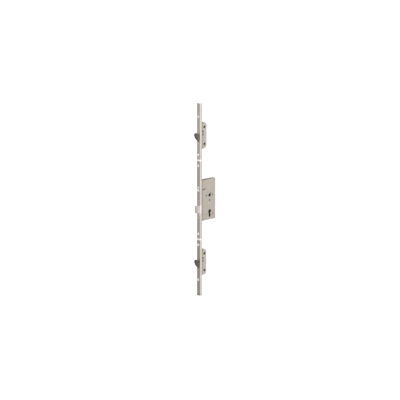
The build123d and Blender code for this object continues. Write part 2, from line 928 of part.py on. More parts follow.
with BuildPart() as latch_fork:
    with BuildSketch(Plane.XY.offset(latch_level - fork_half)):
        panel(fork_front, fork_body_back, -fork_width / 2, fork_width / 2)
    extrude(amount=2 * fork_half)
    with BuildSketch(Plane.XY.offset(latch_level - roller_height / 2 - fork_gap)):
        panel(fork_front - overrun, fork_body_front, -fork_width, fork_width)
    extrude(amount=roller_height + 2 * fork_gap, mode=Mode.SUBTRACT)
    fillet(latch_fork.edges().filter_by(Axis.Z).group_by(Axis.X)[0], fork_corner)
    with BuildSketch(Plane.XY.offset(latch_level - fork_half)):
        with Locations((roller_centre, 0)):
            Circle(roller_pin_radius + seat_gap)
    extrude(amount=2 * fork_half, mode=Mode.SUBTRACT)
    with BuildSketch(front_plane(fork_body_back)):
        with Locations((0, latch_level)):
            Circle(tail_radius)
    extrude(amount=tail_end - fork_body_back)
latch_fork.part.label = "latch_fork"
export_step(latch_fork.part, "parts/latch_fork.step")

with BuildPart() as latch_roller:
    with BuildSketch(Plane.XY.offset(latch_level - roller_height / 2)):
        with Locations((roller_centre, 0)):
            Circle(roller_radius)
            Circle(roller_pin_radius + pin_clearance, mode=Mode.SUBTRACT)
    extrude(amount=roller_height)
    rims = latch_roller.edges().filter_by(GeomType.CIRCLE)
    fillet(rims.filter_by(lambda edge: edge.radius > 2 * roller_pin_radius), window_corner)
latch_roller.part.label = "latch_roller"
export_step(latch_roller.part, "parts/latch_roller.step")

with BuildPart() as roller_pin:
    with BuildSketch(Plane.XY.offset(latch_level - fork_half)):
        with Locations((roller_centre, 0)):
            Circle(roller_pin_radius)
    extrude(amount=2 * fork_half)
roller_pin.part.label = "roller_pin"
export_step(roller_pin.part, "parts/roller_pin.step")

with BuildPart() as latch_clip:
    with BuildSketch(front_plane(seat_back)):
        with Locations((0, latch_level)):
            Circle(clip_radius)
            Circle(tail_radius + seat_gap, mode=Mode.SUBTRACT)
            panel(-tail_radius, tail_radius, latch_level - 2 * clip_radius, latch_level, Mode.SUBTRACT)
    extrude(amount=clip_thickness)
latch_clip.part.label = "latch_clip"
export_step(latch_clip.part, "parts/latch_clip.step")

with BuildPart() as spring_seat:
    with BuildSketch(side_plane(half_blade)):
        panel(seat_front, seat_back, latch_level - seat_half, latch_level + seat_half)
    extrude(amount=half_blade + half_inside)
    with BuildSketch(front_plane(0)):
        with Locations((0, latch_level)):
            Circle(tail_radius + 2 * pin_clearance)
    extrude(amount=2 * seat_back, mode=Mode.SUBTRACT)
spring_seat.part.label = "spring_seat"
export_step(spring_seat.part, "parts/spring_seat.step")

spring_wire = 0.45
spring_coil_radius = 2.9
spring_turns = 8
spring_length = seat_front - fork_body_back - 2 * spring_wire - 2 * seat_gap
spring_pitch = spring_length / spring_turns
with BuildPart() as latch_spring:
    with BuildLine():
        coil = Helix(
            spring_pitch,
            spring_length,
            spring_coil_radius,
            center=(fork_body_back + spring_wire + seat_gap, 0, latch_level),
            direction=(1, 0, 0),
        )
    with BuildSketch(Plane(origin=coil @ 0, z_dir=coil % 0)):
        Circle(spring_wire)
    sweep()
latch_spring.part.label = "latch_spring"
export_step(latch_spring.part, "parts/latch_spring.step")


def spring_gap(samples_per_turn=48):
    """Least gap between the wire of one turn and the wire of the next."""
    count = spring_turns * samples_per_turn
    points = [coil @ (i / count) for i in range(count + 1)]
    apart = samples_per_turn // 2
    return min((a - b).length for i, a in enumerate(points) for b in points[i + apart :]) - 2 * spring_wire


print(f"latch spring: least gap between turns {spring_gap():.2f} mm")

# Follower: hub with collars in both case plates, a square hole and a toothed sector
collar_radius = 8.5
hub_plate_radius = 10.0
first_follower_tooth = -30.0
slit_angle = 50.0
slit_width = 2.0
slit_length = 4.0
slit_reach = 6.6
slit_depth = 2.5
cover_slit_reach = 12.0
cover_slit_length = 8.0
with BuildPart() as follower:
    with BuildSketch(side_plane(gear_face)):
        wheel_sketch((backset, 0), first_follower_tooth)
    extrude(amount=gear_face - half_blade)
    with BuildSketch(side_plane(half_blade)):
        with Locations((backset, 0)):
            Circle(hub_plate_radius)
    extrude(amount=half_blade + half_inside - running_clearance)
    with BuildSketch(side_plane(half_case)):
        with Locations((backset, 0)):
            Circle(collar_radius)
    extrude(amount=case_thickness)
    with BuildSketch(side_plane(half_case)):
        with Locations((backset, 0)):
            Rectangle(spindle_side, spindle_side)
    extrude(amount=case_thickness, mode=Mode.SUBTRACT)
    with BuildSketch(side_plane(-half_case)):
        with Locations((backset, 0)):
            with PolarLocations(slit_reach, 1, slit_angle):
                Rectangle(slit_length, slit_width)
    extrude(amount=-slit_depth, mode=Mode.SUBTRACT)
follower.part.label = "follower"
export_step(follower.part, "parts/follower.step")

# Locking lever: the cylinder's cam swings its nose under the drive plate, or into its notch
lever_pin_radius = 2.0
with BuildPart() as locking_lever:
    with BuildSketch(side_plane(gear_face)):
        with Locations(lever_pivot):
            Circle(lever_hub_radius)
        with BuildLine():
            Polyline(
                (nose_tip, nose_foot),
                (nose_back, nose_foot),
                (lever_back, nose_foot + lever_rise),
                (lever_back, lever_pivot[1]),
                (lever_front, lever_pivot[1]),
                (lever_front, nose_foot + nose_height),
                (nose_tip, nose_foot + nose_height),
                close=True,
            )
        make_face()
    extrude(amount=gear_face - plate_low)
    with BuildSketch(side_plane(plate_low)):
        with Locations(lever_pivot):
            Circle(lever_hub_radius)
    extrude(amount=plate_low + half_inside - running_clearance)
    with BuildSketch(side_plane(gear_face)):
        with Locations(lever_pivot):
            Circle(lever_pin_radius + pin_clearance)
    extrude(amount=gear_face + half_inside, mode=Mode.SUBTRACT)
locking_lever.part.label = "locking_lever"
export_step(locking_lever.part, "parts/locking_lever.step")

with BuildPart() as lever_pin:
    with BuildSketch(side_plane(half_case)):
        with Locations(lever_pivot):
            Circle(lever_pin_radius)
    extrude(amount=case_thickness)
lever_pin.part.label = "lever_pin"
export_step(lever_pin.part, "parts/lever_pin.step")

# Cylinder screw: the long screw from the forend that holds the profile cylinder
cylinder_screw_radius = 2.4
cylinder_screw_tip = 54.0
cylinder_screw = face_screw(
    cylinder_screw_level,
    coupling_screw_head,
    cylinder_screw_radius,
    cylinder_screw_tip,
)
cylinder_screw.label = "cylinder_screw"
export_step(cylinder_screw, "parts/cylinder_screw.step")

case_rivet_radius = 1.5
case_rivet_head = 2.6
case_rivet_head_height = 0.6
case_post_radius = 2.6
case_rivet_spots = ((37.0, 63.5), (88.5, 64.5), (88.5, -101.5), (26.0, -104.0))
case_outline = plate_outline(case_back, case_bottom, case_top, case_corner)


def furniture_holes():
    """Holes that go through both plates of the case, in the open sketch."""
    with Locations((backset, 0)):
        Circle(collar_radius + pin_clearance, mode=Mode.SUBTRACT)
        with GridLocations(furniture_spacing, 0, 2, 1):
            Circle(rose_hole_radius, mode=Mode.SUBTRACT)
    with Locations((backset, plate_hole_level)):
        with GridLocations(furniture_spacing, 0, 2, 1):
            Circle(plate_hole_radius, mode=Mode.SUBTRACT)
    with Locations((backset, middle_slot_level)):
        SlotOverall(middle_slot_length, middle_slot_width, rotation=90, mode=Mode.SUBTRACT)
    with Locations((backset, cylinder_level)):
        Circle(cylinder_radius, mode=Mode.SUBTRACT)
    with Locations((backset, cylinder_level - cylinder_drop / 2)):
        SlotOverall(cylinder_drop, cylinder_flag_width, rotation=90, mode=Mode.SUBTRACT)
    with Locations(lever_pivot):
        Circle(lever_pin_radius + seat_gap, mode=Mode.SUBTRACT)
    with Locations(*case_rivet_spots):
        Circle(case_rivet_radius + seat_gap, mode=Mode.SUBTRACT)


# Case tray: far plate, walls round three sides with two gaps in the top one, and tubular posts for the rivets
top_gaps = ((16.0, 55.0), (63.0, 73.0))
with BuildPart() as case_tray:
    with BuildSketch(side_plane(half_case)):
        add(case_outline)
    extrude(amount=case_thickness - sheet)
    with BuildSketch(side_plane(half_inside)):
        panel(0, case_back - sheet, case_bottom + sheet, case_top - sheet)
        panel(0, case_mouth, case_bottom - overrun, case_top + overrun)
        for front, back in top_gaps:
            panel(front, back, case_middle, case_top + overrun)
    extrude(amount=case_thickness, mode=Mode.SUBTRACT)
    with BuildSketch(side_plane(half_inside)):
        with Locations(*case_rivet_spots):
            Circle(case_post_radius)
    extrude(amount=2 * half_inside)
    with BuildSketch(side_plane(half_case)):
        add(case_outline)
        furniture_holes()
    extrude(amount=case_thickness, mode=Mode.INTERSECT)
case_tray.part.label = "case_tray"
export_step(case_tray.part, "parts/case_tray.step")

# Case cover: the near plate, with the curved slot beside the latch and a slit that starts at the follower
smile_centre = (24.0, 41.0)
smile_radius = 12.0
smile_width = 3.4
smile_start = 228.0
smile_sweep = 97.0
smile = CenterArc(smile_centre, smile_radius, smile_start, smile_sweep)
with BuildPart() as case_cover:
    with BuildSketch(side_plane(-half_inside)):
        add(case_outline)
        furniture_holes()
        SlotArc(smile, smile_width, mode=Mode.SUBTRACT)
        with Locations((backset, 0)):
            with PolarLocations(cover_slit_reach, 1, slit_angle):
                Rectangle(cover_slit_length, slit_width, mode=Mode.SUBTRACT)
    extrude(amount=sheet)
case_cover.part.label = "case_cover"
export_step(case_cover.part, "parts/case_cover.step")

with BuildPart() as case_rivets:
    with BuildSketch(side_plane(half_case)):
        with Locations(*case_rivet_spots):
            Circle(case_rivet_radius)
    extrude(amount=case_thickness)
    for level in (half_case + case_rivet_head_height, -half_case):
        with BuildSketch(side_plane(level)):
            with Locations(*case_rivet_spots):
                Circle(case_rivet_head)
        extrude(amount=case_rivet_head_height)
case_rivets.part.label = "case_rivets"
export_step(case_rivets.part, "parts/case_rivets.step")
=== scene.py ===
import json
import math

import bpy
from mathutils import Matrix, Vector


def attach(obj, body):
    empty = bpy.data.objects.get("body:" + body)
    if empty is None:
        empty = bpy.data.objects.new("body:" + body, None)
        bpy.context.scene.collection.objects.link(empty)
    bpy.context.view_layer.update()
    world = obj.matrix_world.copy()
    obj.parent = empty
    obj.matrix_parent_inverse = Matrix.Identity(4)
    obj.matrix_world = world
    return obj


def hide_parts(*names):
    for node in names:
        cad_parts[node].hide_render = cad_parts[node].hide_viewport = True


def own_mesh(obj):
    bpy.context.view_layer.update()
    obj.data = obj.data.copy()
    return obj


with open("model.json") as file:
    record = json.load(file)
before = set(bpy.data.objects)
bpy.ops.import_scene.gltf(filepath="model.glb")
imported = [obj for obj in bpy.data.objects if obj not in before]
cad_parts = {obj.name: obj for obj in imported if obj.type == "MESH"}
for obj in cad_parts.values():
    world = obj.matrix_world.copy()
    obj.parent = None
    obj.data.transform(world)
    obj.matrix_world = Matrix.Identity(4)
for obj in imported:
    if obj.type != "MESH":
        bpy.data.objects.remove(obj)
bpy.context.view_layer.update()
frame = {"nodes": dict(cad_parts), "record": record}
nodes = frame["nodes"]
print("lock frame loaded:", len(nodes), "pieces")

mm = 0.001

# heights on the lock, in mm above the spindle
levels = {
    "upperBox": 268.4, "lowerBox": -291.1, "upperJoint": 161.0, "lowerJoint": -188.5, "jointScrew": 24.5,
    "upperDoorScrew": 353.0, "lowerDoorScrew": -368.0, "cylinderScrew": 40.2, "bolt": -55.0, "latch": 29.2,
}


# small helpers for building shader trees

def newMaterial(name):
    material = bpy.data.materials.new(name)
    material.use_nodes = True
    tree = material.node_tree
    shader = tree.nodes["Principled BSDF"]
    return material, tree, shader


def mathNode(tree, operation, first, second=None, clamp=False):
    node = tree.nodes.new("ShaderNodeMath")
    node.operation = operation
    node.use_clamp = clamp
    for socket, value in zip(node.inputs, (first, second)):
        if value is None:
            continue
        if isinstance(value, (int, float)):
            socket.default_value = value
        else:
            tree.links.new(value, socket)
    return node.outputs[0]


def plainRays(tree):
    # 1 for the rays that should meet the plain pale room: straight, mirrored and through glass
    path = tree.nodes.new("ShaderNodeLightPath")
    direct = mathNode(tree, "MAXIMUM", path.outputs["Is Camera Ray"], path.outputs["Is Transmission Ray"])
    return mathNode(tree, "MAXIMUM", direct, path.outputs["Is Glossy Ray"])


def mixColours(tree, factor, first, second, blend="MIX"):
    node = tree.nodes.new("ShaderNodeMix")
    node.data_type = "RGBA"
    node.blend_type = blend
    if isinstance(factor, (int, float)):
        node.inputs[0].default_value = factor
    else:
        tree.links.new(factor, node.inputs[0])
    for socket, value in ((node.inputs[6], first), (node.inputs[7], second)):
        if isinstance(value, tuple):
            socket.default_value = (*value, 1.0)
        else:
            tree.links.new(value, socket)
    return node.outputs[2]


def ramp(tree, source, low, high):
    node = tree.nodes.new("ShaderNodeMapRange")
    node.inputs["From Min"].default_value = low
    node.inputs["From Max"].default_value = high
    tree.links.new(source, node.inputs["Value"])
    return node.outputs["Result"]


def objectNoise(tree, stretch, scale, detail, rough, seed):
    coordinate = tree.nodes.new("ShaderNodeTexCoord")
    mapping = tree.nodes.new("ShaderNodeMapping")
    mapping.inputs["Scale"].default_value = stretch
    mapping.inputs["Location"].default_value = (seed, seed * 0.7, -seed)
    tree.links.new(coordinate.outputs["Object"], mapping.inputs["Vector"])
    noise = tree.nodes.new("ShaderNodeTexNoise")
    noise.inputs["Scale"].default_value = scale
    noise.inputs["Detail"].default_value = detail
    noise.inputs["Roughness"].default_value = rough
    tree.links.new(mapping.outputs["Vector"], noise.inputs["Vector"])
    return noise.outputs["Fac"]


def edgeMask(tree, radius, gain):
    # white where the surface turns a corner within the radius
    bevel = tree.nodes.new("ShaderNodeBevel")
    bevel.samples = 6
    bevel.inputs["Radius"].default_value = radius
    geometry = tree.nodes.new("ShaderNodeNewGeometry")
    dot = tree.nodes.new("ShaderNodeVectorMath")
    dot.operation = "DOT_PRODUCT"
    tree.links.new(bevel.outputs["Normal"], dot.inputs[0])
    tree.links.new(geometry.outputs["True Normal"], dot.inputs[1])
    away = mathNode(tree, "SUBTRACT", 1.0, dot.outputs["Value"])
    return mathNode(tree, "MULTIPLY", away, gain, clamp=True)


def paintedCavityShade(tree, reach, share, depth):
    # painted shade: 1 on open faces, down to 1 - share in holes and corners where shade falls
    hidden = tree.nodes.new("ShaderNodeAmbientOcclusion")
    hidden.samples = 8
    hidden.inputs["Distance"].default_value = reach
    kept = mathNode(tree, "MULTIPLY", mathNode(tree, "POWER", hidden.outputs["AO"], depth), share)
    return mathNode(tree, "ADD", kept, 1.0 - share)


def faceShares(tree):
    # how far a face looks along X, Y and Z
    geometry = tree.nodes.new("ShaderNodeNewGeometry")
    split = tree.nodes.new("ShaderNodeSeparateXYZ")
    tree.links.new(geometry.outputs["True Normal"], split.inputs[0])
    return [mathNode(tree, "ABSOLUTE", split.outputs[i]) for i in range(3)]


def objectBand(tree, axis, middle, half, soft):
    # 1 within half of the middle along one object axis, falling to 0 over the soft length
    coordinate = tree.nodes.new("ShaderNodeTexCoord")
    split = tree.nodes.new("ShaderNodeSeparateXYZ")
    tree.links.new(coordinate.outputs["Object"], split.inputs[0])
    away = mathNode(tree, "ABSOLUTE", mathNode(tree, "SUBTRACT", split.outputs[axis], middle))
    return ramp(tree, away, half + soft, half)


def spotShare(tree, plane, centre, radius, soft):
    # 1 within the radius of a point in one object plane, 0 beyond the soft border
    coordinate = tree.nodes.new("ShaderNodeTexCoord")
    flat = tree.nodes.new("ShaderNodeVectorMath")
    flat.operation = "MULTIPLY"
    flat.inputs[1].default_value = plane
    tree.links.new(coordinate.outputs["Object"], flat.inputs[0])
    distance = tree.nodes.new("ShaderNodeVectorMath")
    distance.operation = "DISTANCE"
    distance.inputs[1].default_value = centre
    tree.links.new(flat.outputs[0], distance.inputs[0])
    return ramp(tree, distance.outputs["Value"], radius * (1.0 + soft), radius)


def shaded(tree, colour, factor):
    grey = tree.nodes.new("ShaderNodeCombineXYZ")
    for socket in grey.inputs:
        tree.links.new(factor, socket)
    return mixColours(tree, 1.0, colour, grey.outputs[0], "MULTIPLY")


# from where to where a pattern or a face's slope comes in, and how soft painted borders are
spans = {
    "line": (0.32, 0.68), "cloud": (0.35, 0.65), "speck": (0.60, 0.72), "tint": (0.3, 0.7),
    "side": (0.75, 0.97), "slantHighlight": (0.06, 0.25), "shadedCap": (0.6, 0.95), "shadedRim": (0.3, 0.9),
}
softness = {"ring": 0.12, "holeShade": 0.15, "paintedHighlight": 0.004, "paintedContact": 0.003}
# the cavity share sets how dark the painted shade in holes and corners gets
usual = {"reach": 0.010, "cavityShadeShare": 0.75, "depth": 1.0, "specular": 0.5}  # unless a finish has its own
even = (1, 1, 1)  # a noise that is stretched in no direction
patterns = {  # detail and roughness of each noise
    "line": (2.0, 0.6), "cloud": (4.0, 0.6), "speck": (2.0, 0.5), "grain": (3.0, 0.6), "tint": (3.0, 0.5),
}


def layered(tree, colour, mask, share, over):
    # lays a colour over another where the mask is white
    return mixColours(tree, mathNode(tree, "MULTIPLY", mask, share), colour, over)


def brushedMetal(name, look):
    # ground or plated metal: fine lines, clouds in the plating, worn edges and painted shade in corners
    material, tree, shader = newMaterial(name)
    look = {**usual, **look}
    seed = look["seed"]
    lines = objectNoise(tree, look["lineStretch"], look["lineScale"], *patterns["line"], seed)
    clouds = objectNoise(tree, even, look["cloudScale"], *patterns["cloud"], seed + 3)
    specks = objectNoise(tree, even, look["speckScale"], *patterns["speck"], seed + 7)
    lineShare = ramp(tree, lines, *spans["line"])
    cloudShare = ramp(tree, clouds, *spans["cloud"])
    speckShare = ramp(tree, specks, *spans["speck"])
    colour = mixColours(tree, lineShare, look["dark"], look["light"])
    colour = layered(tree, colour, cloudShare, look["cloudShare"], look["cloud"])
    colour = layered(tree, colour, speckShare, look["speckShare"], look["speck"])
    worn = edgeMask(tree, look["wearRadius"], look["wearGain"])
    colour = layered(tree, colour, worn, look["wearShare"], look["worn"])
    if "side" in look:  # painted light: faces across the door are painted lighter as a lit side, and slanted faces of bends and countersinks get a painted highlight
        shares = faceShares(tree)
        colour = mixColours(tree, ramp(tree, shares[1], *spans["side"]), colour, look["side"])
        square = mathNode(tree, "MAXIMUM", shares[0], mathNode(tree, "MAXIMUM", shares[1], shares[2]))
        slantHighlight = mathNode(tree, "SUBTRACT", 1.0, square)
        colour = mixColours(tree, ramp(tree, slantHighlight, *spans["slantHighlight"]), colour, look["slantHighlight"])
    for level in look.get("rings", ()):  # near-white rings painted round screw holes in the face
        ring = spotShare(tree, (0, 1, 1), (0, 0, level * mm), look["ringRadius"], softness["ring"])
        colour = mixColours(tree, ring, colour, look["ring"])
    for x, z, radius in look.get("holeShades", ()):  # painted shade round holes and pins in a plate
        spot = spotShare(tree, (1, 0, 1), (x * mm, 0, z * mm), radius * mm, softness["holeShade"])
        colour = layered(tree, colour, spot, look["holeShadeShare"], look["holeShade"])
    if "paintedHighlight" in look:  # a painted highlight band, such as the one round the bolt
        patch = objectBand(tree, 2, look["highlightLevel"] * mm, look["highlightHalf"], softness["paintedHighlight"])
        colour = mixColours(tree, patch, colour, look["paintedHighlight"])
    if "paintedContact" in look:  # painted shade where a piece meets the forend, and painted light on the roots of the hook and the bolt
        line = objectBand(tree, 0, look["contactDepth"], look["contactHalf"], softness["paintedContact"])
        colour = layered(tree, colour, line, look["contactShare"], look["paintedContact"])
    if "shadedCap" in look:  # painted shade: level faces are painted dark
        colour = mixColours(tree, ramp(tree, faceShares(tree)[2], *spans["shadedCap"]), colour, look["shadedCap"])
    if "shadedRim" in look:  # painted shade: faces that don't look across the door, such as the folded walls of a case, are painted darker than its plates
        flat = ramp(tree, faceShares(tree)[1], *spans["shadedRim"])
        colour = mixColours(tree, flat, look["shadedRim"], colour)
    colour = shaded(tree, colour, paintedCavityShade(tree, look["reach"], look["cavityShadeShare"], look["depth"]))
    tree.links.new(colour, shader.inputs["Base Color"])
    rough = mathNode(tree, "MULTIPLY", lineShare, look["roughSpread"])
    rough = mathNode(tree, "ADD", rough, look["rough"])
    rough = mathNode(tree, "ADD", rough, mathNode(tree, "MULTIPLY", cloudShare, look["roughSpread"]))
    tree.links.new(rough, shader.inputs["Roughness"])
    height = mathNode(tree, "ADD", lines, mathNode(tree, "MULTIPLY", clouds, look["cloudHeight"]))
    bump = tree.nodes.new("ShaderNodeBump")
    bump.inputs["Strength"].default_value = look["bump"]
    bump.inputs["Distance"].default_value = look["bumpDepth"]
    tree.links.new(height, bump.inputs["Height"])
    tree.links.new(bump.outputs["Normal"], shader.inputs["Normal"])
    shader.inputs["Metallic"].default_value = look["metallic"]
    shader.inputs["Specular IOR Level"].default_value = look["specular"]
    return material


def mouldedPlastic(name, look):
    # moulded plastic with a fine spark-eroded grain and slightly scuffed corners
    material, tree, shader = newMaterial(name)
    grain = objectNoise(tree, even, look["grainScale"], *patterns["grain"], look["seed"])
    clouds = objectNoise(tree, even, look["cloudScale"], *patterns["tint"], look["seed"] + 2)
    colour = mixColours(tree, ramp(tree, clouds, *spans["tint"]), look["dark"], look["light"])
    worn = edgeMask(tree, look["wearRadius"], look["wearGain"])
    colour = layered(tree, colour, worn, look["wearShare"], look["worn"])
    tree.links.new(colour, shader.inputs["Base Color"])
    rough = mathNode(tree, "MULTIPLY", ramp(tree, grain, *spans["tint"]), look["roughSpread"])
    rough = mathNode(tree, "ADD", rough, look["rough"])
    tree.links.new(rough, shader.inputs["Roughness"])
    bump = tree.nodes.new("ShaderNodeBump")
    bump.inputs["Strength"].default_value = look["bump"]
    bump.inputs["Distance"].default_value = look["bumpDepth"]
    tree.links.new(grain, bump.inputs["Height"])
    tree.links.new(bump.outputs["Normal"], shader.inputs["Normal"])
    shader.inputs["Metallic"].default_value = 0.0
    return material


# finishes, one dictionary each: plain numbers are metres, shares or noise scales, and levels are mm

# in the forend: the side colour is a painted lit side, the slant colour a painted highlight, the contact
# colour painted shade by its back edge, and the cavity share painted shade
forendLook = {
    "dark": (0.300, 0.270, 0.246), "light": (0.380, 0.345, 0.317),
    "side": (0.505, 0.472, 0.434), "slantHighlight": (0.45, 0.420, 0.390), "reach": 0.008, "cavityShadeShare": 0.6,
    "paintedContact": (0.34, 0.318, 0.286), "contactDepth": 0.0125, "contactHalf": 0.0035, "contactShare": 0.85,
    "cloud": (0.36, 0.330, 0.304), "cloudShare": 0.35, "cloudScale": 45.0, "cloudHeight": 0.3,
    "speck": (0.24, 0.215, 0.20), "speckShare": 0.25, "speckScale": 900.0,
    "worn": (0.78, 0.74, 0.68), "wearRadius": 0.0009, "wearGain": 2.2, "wearShare": 0.7,
    "lineStretch": (1.0, 1.0, 0.02), "lineScale": 2600.0,
    "rough": 0.34, "roughSpread": 0.08, "metallic": 0.75, "bump": 0.18, "bumpDepth": 0.00006, "seed": 1.0,
}

# in the case: the rim colour is painted shade on its walls, the contact colour painted shade where it meets
# the forend, and the cavity share painted shade
caseLook = {
    "dark": (0.335, 0.300, 0.256), "light": (0.40, 0.357, 0.307),
    "shadedRim": (0.22, 0.198, 0.17), "reach": 0.012, "cavityShadeShare": 0.96, "depth": 1.6,
    "paintedContact": (0.20, 0.178, 0.152), "contactDepth": 0.0135, "contactHalf": 0.0045, "contactShare": 0.7,
    "cloud": (0.335, 0.315, 0.278), "cloudShare": 0.55, "cloudScale": 60.0, "cloudHeight": 0.5,
    "speck": (0.50, 0.45, 0.39), "speckShare": 0.35, "speckScale": 420.0,
    "worn": (0.70, 0.66, 0.60), "wearRadius": 0.0008, "wearGain": 2.4, "wearShare": 0.6,
    "lineStretch": (0.05, 1.0, 1.0), "lineScale": 1500.0,
    "rough": 0.40, "roughSpread": 0.08, "metallic": 0.65, "bump": 0.15, "bumpDepth": 0.00008, "seed": 4.0,
}

# in the hook: the rim colour is painted shade on faces that don't look across the door, and the contact
# colour painted light where it leaves the forend
hookLook = {
    "dark": (0.053, 0.049, 0.043), "light": (0.081, 0.075, 0.066), "reach": 0.006, "cavityShadeShare": 0.35,
    "shadedRim": (0.032, 0.029, 0.025), "cloud": (0.135, 0.124, 0.108),
    "paintedContact": (0.30, 0.278, 0.252), "contactDepth": 0.0, "contactHalf": 0.0035, "contactShare": 0.75,
    "cloudShare": 0.45, "cloudScale": 130.0, "cloudHeight": 0.6,
    "speck": (0.045, 0.042, 0.038), "speckShare": 0.5, "speckScale": 700.0,
    "worn": (0.36, 0.34, 0.31), "wearRadius": 0.0007, "wearGain": 2.0, "wearShare": 0.55,
    "lineStretch": (1.0, 1.0, 0.15), "lineScale": 900.0,
    "rough": 0.42, "roughSpread": 0.10, "metallic": 0.70, "bump": 0.30, "bumpDepth": 0.00010, "seed": 9.0,
}

# in the bolt: the side and slant colours are painted light, the cap colour painted shade on its level faces,
# and the contact colour painted light at its root
boltLook = {
    "dark": (0.285, 0.267, 0.250), "light": (0.365, 0.342, 0.320), "reach": 0.006, "cavityShadeShare": 0.12,
    "side": (0.43, 0.404, 0.381), "slantHighlight": (0.36, 0.339, 0.319), "shadedCap": (0.09, 0.084, 0.077),
    "paintedContact": (0.86, 0.82, 0.78), "contactDepth": 0.0015, "contactHalf": 0.0055, "contactShare": 0.8,
    "cloud": (0.44, 0.415, 0.392), "cloudShare": 0.4, "cloudScale": 90.0, "cloudHeight": 0.3,
    "speck": (0.50, 0.46, 0.44), "speckShare": 0.15, "speckScale": 800.0,
    "worn": (0.74, 0.70, 0.66), "wearRadius": 0.0008, "wearGain": 2.0, "wearShare": 0.35,
    "lineStretch": (0.04, 1.0, 1.0), "lineScale": 2200.0,
    "rough": 0.30, "roughSpread": 0.08, "metallic": 0.45, "bump": 0.15, "bumpDepth": 0.00005, "seed": 12.0,
}

guideFrameLook = {
    "dark": (0.78, 0.73, 0.69), "light": (0.88, 0.83, 0.79), "reach": 0.005, "cavityShadeShare": 0.15,
    "cloud": (0.84, 0.80, 0.76), "cloudShare": 0.4, "cloudScale": 90.0, "cloudHeight": 0.3,
    "speck": (0.50, 0.46, 0.44), "speckShare": 0.15, "speckScale": 800.0,
    "worn": (0.85, 0.82, 0.78), "wearRadius": 0.0006, "wearGain": 2.0, "wearShare": 0.4,
    "lineStretch": (1.0, 1.0, 0.04), "lineScale": 2000.0,
    "rough": 0.34, "roughSpread": 0.08, "metallic": 0.25, "bump": 0.15, "bumpDepth": 0.00005, "seed": 13.0,
}

zincLook = {
    "dark": (0.42, 0.42, 0.41), "light": (0.55, 0.545, 0.53),
    "cloud": (0.60, 0.59, 0.55), "cloudShare": 0.6, "cloudScale": 180.0, "cloudHeight": 0.5,
    "speck": (0.34, 0.34, 0.33), "speckShare": 0.3, "speckScale": 900.0,
    "worn": (0.80, 0.79, 0.76), "wearRadius": 0.0005, "wearGain": 2.0, "wearShare": 0.5,
    "lineStretch": (1.0, 1.0, 0.05), "lineScale": 1400.0,
    "rough": 0.36, "roughSpread": 0.10, "metallic": 0.80, "bump": 0.18, "bumpDepth": 0.00006, "seed": 15.0,
}

# in the follower: the dark spot round its spindle hole and the deep cavity share are painted shade
followerLook = {
    "dark": (0.32, 0.29, 0.255), "light": (0.40, 0.365, 0.325), "reach": 0.02, "cavityShadeShare": 1.0, "depth": 3.0,
    "holeShade": (0.02, 0.018, 0.015), "holeShadeShare": 0.97, "holeShades": ((60.0, 0.0, 6.6),),
    "cloud": (0.44, 0.405, 0.36), "cloudShare": 0.4, "cloudScale": 220.0, "cloudHeight": 0.8,
    "speck": (0.22, 0.21, 0.19), "speckShare": 0.6, "speckScale": 1600.0,
    "worn": (0.74, 0.71, 0.66), "wearRadius": 0.0005, "wearGain": 2.0, "wearShare": 0.5,
    "lineStretch": (1.0, 1.0, 1.0), "lineScale": 1200.0,
    "rough": 0.44, "roughSpread": 0.10, "metallic": 0.75, "bump": 0.35, "bumpDepth": 0.00008, "seed": 18.0,
}

brightScrewLook = {
    "dark": (0.88, 0.87, 0.84), "light": (0.97, 0.965, 0.94), "reach": 0.004, "cavityShadeShare": 0.2,
    "cloud": (0.96, 0.95, 0.92), "cloudShare": 0.4, "cloudScale": 300.0, "cloudHeight": 0.3,
    "speck": (0.55, 0.53, 0.50), "speckShare": 0.2, "speckScale": 1500.0,
    "worn": (0.95, 0.93, 0.90), "wearRadius": 0.0003, "wearGain": 2.0, "wearShare": 0.5,
    "lineStretch": (1.0, 1.0, 1.0), "lineScale": 1900.0,
    "rough": 0.24, "roughSpread": 0.08, "metallic": 0.20, "bump": 0.15, "bumpDepth": 0.00004, "seed": 21.0,
}

darkScrewLook = {
    "dark": (0.018, 0.016, 0.013), "light": (0.034, 0.030, 0.025),
    "cloud": (0.045, 0.040, 0.033), "cloudShare": 0.5, "cloudScale": 350.0, "cloudHeight": 0.4,
    "speck": (0.02, 0.018, 0.016), "speckShare": 0.5, "speckScale": 1500.0,
    "worn": (0.16, 0.15, 0.13), "wearRadius": 0.0003, "wearGain": 2.0, "wearShare": 0.25,
    "lineStretch": (1.0, 1.0, 1.0), "lineScale": 1700.0,
    "rough": 0.62, "roughSpread": 0.10, "metallic": 0.0, "specular": 0.12,
    "bump": 0.25, "bumpDepth": 0.00005, "seed": 24.0,
}

rivetLook = {
    "dark": (0.52, 0.48, 0.43), "light": (0.64, 0.59, 0.53),
    "cloud": (0.70, 0.65, 0.58), "cloudShare": 0.4, "cloudScale": 260.0, "cloudHeight": 0.4,
    "speck": (0.40, 0.37, 0.33), "speckShare": 0.3, "speckScale": 1300.0,
    "worn": (0.84, 0.80, 0.73), "wearRadius": 0.0003, "wearGain": 2.0, "wearShare": 0.5,
    "lineStretch": (1.0, 1.0, 1.0), "lineScale": 1500.0,
    "rough": 0.32, "roughSpread": 0.08, "metallic": 0.75, "bump": 0.2, "bumpDepth": 0.00005, "seed": 27.0,
}

